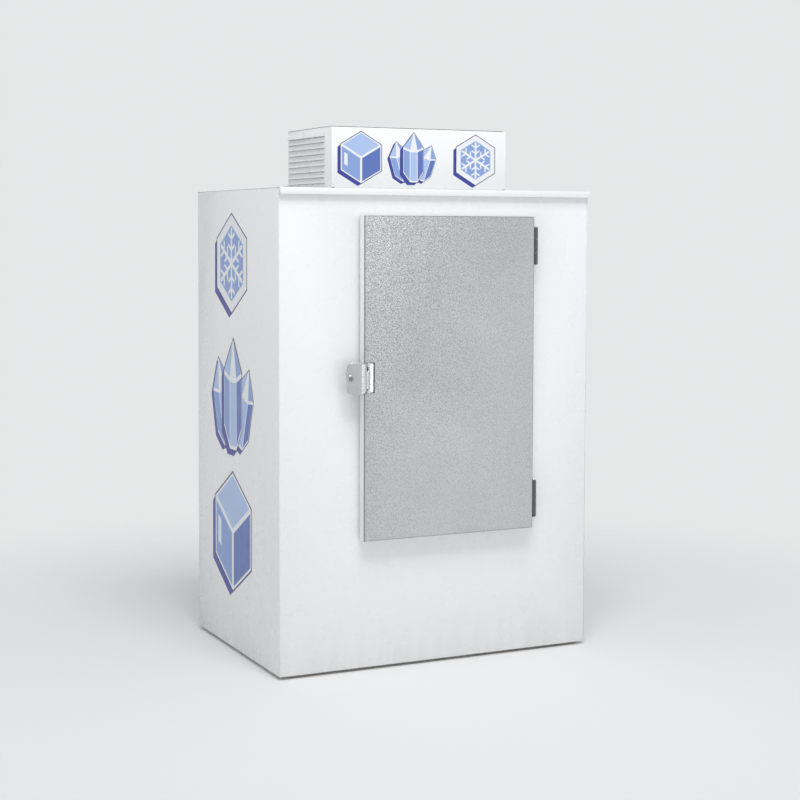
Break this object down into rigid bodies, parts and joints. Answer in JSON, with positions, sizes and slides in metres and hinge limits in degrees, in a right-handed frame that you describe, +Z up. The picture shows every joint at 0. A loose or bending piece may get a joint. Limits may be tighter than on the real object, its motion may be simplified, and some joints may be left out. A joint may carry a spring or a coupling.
{
  "type": "upright ice merchandiser freezer",
  "caption": "Upright bagged-ice freezer with a hinged overlay door, a paddle latch, an insulated cabinet and a roof-mounted refrigeration unit.",
  "frame": {"origin": "on the floor, under the middle of the cabinet, on the underside of the base frame's centre rail", "axes": "+X to the hinge side of the cabinet as seen from the front, +Y to its back, +Z up"},
  "size_m": [1.284, 0.9568, 1.995],
  "materials": {
    "white_enamel": "gloss",
    "white_liner": "satin",
    "white_plastic": "satin",
    "rack_plastic": "matte",
    "embossed_steel": "satin",
    "chrome": "polished",
    "dark_chrome": "gloss",
    "spring_steel": "satin",
    "galvanized_steel": "satin",
    "aluminium_sheet": "satin",
    "copper": "satin",
    "black_enamel": "satin",
    "black_plastic": "matte",
    "black_rubber": "matte",
    "gasket_rubber": "matte",
    "rigid_foam": "matte"
  },
  "bodies": {
    "cabinet": {"base_frame": "galvanized_steel", "bottom_panel": "galvanized_steel", "left_side_panel": "white_enamel", "right_side_panel": "white_enamel", "back_panel": "white_enamel", "front_panel": "white_enamel", "roof_panel": "white_enamel", "foam_core": "rigid_foam", "liner_left_wall": "white_liner", "liner_right_wall": "white_liner", "liner_back_wall": "white_liner", "liner_front_wall": "white_liner", "liner_ceiling": "white_liner", "liner_floor": "white_liner", "door_jamb": "white_plastic", "floor_rack_left": "rack_plastic", "floor_rack_right": "rack_plastic", "floor_drain": "white_plastic", "roof_plug": "rigid_foam", "evaporator_casing": "aluminium_sheet", "evaporator_coil": "aluminium_sheet", "evaporator_fan_guard": "galvanized_steel", "evaporator_fan_motor": "black_enamel", "condensate_tube": "white_plastic", "strike_plate": "chrome", "hinge_frame_leaf_top": "dark_chrome", "hinge_pin_top": "dark_chrome", "hinge_frame_leaf_bottom": "dark_chrome", "hinge_pin_bottom": "dark_chrome", "unit_gasket": "black_rubber", "unit_tray": "galvanized_steel", "sign_panel": "white_enamel", "left_louver_panel": "white_enamel", "right_louver_panel": "white_enamel", "rear_grille": "white_enamel", "top_cover": "white_enamel", "power_gland": "black_plastic", "condenser_coil": "aluminium_sheet", "condenser_shroud": "galvanized_steel", "condenser_fan_motor": "black_enamel", "discharge_line": "copper", "liquid_line": "copper", "suction_line": "copper", "compressor": "black_enamel", "control_box": "galvanized_steel"},
    "door": {"door_outer_skin": "embossed_steel", "door_edge_trim": "white_plastic", "door_foam": "rigid_foam", "door_inner_pan": "white_plastic", "door_gasket": "gasket_rubber", "hinge_door_leaf_top": "dark_chrome", "hinge_door_leaf_bottom": "dark_chrome", "latch_base": "chrome", "latch_pin": "chrome", "latch_spring": "spring_steel"},
    "handle": {"latch_handle": "chrome"},
    "lock": {"lock_cylinder": "chrome"},
    "roller": {"strike_roller": "white_plastic"},
    "condenser_fan": {"condenser_fan": "black_plastic"},
    "evaporator_fan": {"evaporator_fan": "black_plastic"}
  },
  "joints": [
    {"name": "door_hinge", "type": "hinge", "parent": "cabinet", "child": "door", "pos_m": [0.387, -0.481, 1.081], "axis": [0, 0, 1], "range_deg": [0, 120]},
    {"name": "handle_pivot", "type": "hinge", "parent": "door", "child": "handle", "pos_m": [-0.319, -0.5049, 1.086], "axis": [0, 0, 1], "range_deg": [0, 32], "stiffness_Nm_per_rad": 0.8},
    {"name": "lock_turn", "type": "hinge", "parent": "handle", "child": "lock", "pos_m": [-0.39, -0.49, 1.086], "axis": [0, 1, 0], "range_deg": [0, 90]},
    {"name": "roller_spin", "type": "hinge", "parent": "cabinet", "child": "roller", "pos_m": [-0.349, -0.465, 1.058], "axis": [0, 0, 1], "continuous": true},
    {"name": "condenser_fan_spin", "type": "hinge", "parent": "cabinet", "child": "condenser_fan", "pos_m": [-0.3497, -0.232, 1.876], "axis": [-1, 0, 0], "continuous": true},
    {"name": "evaporator_fan_spin", "type": "hinge", "parent": "cabinet", "child": "evaporator_fan", "pos_m": [-0.098, -0.24, 1.6102], "axis": [0, -1, 0], "continuous": true}
  ]
}
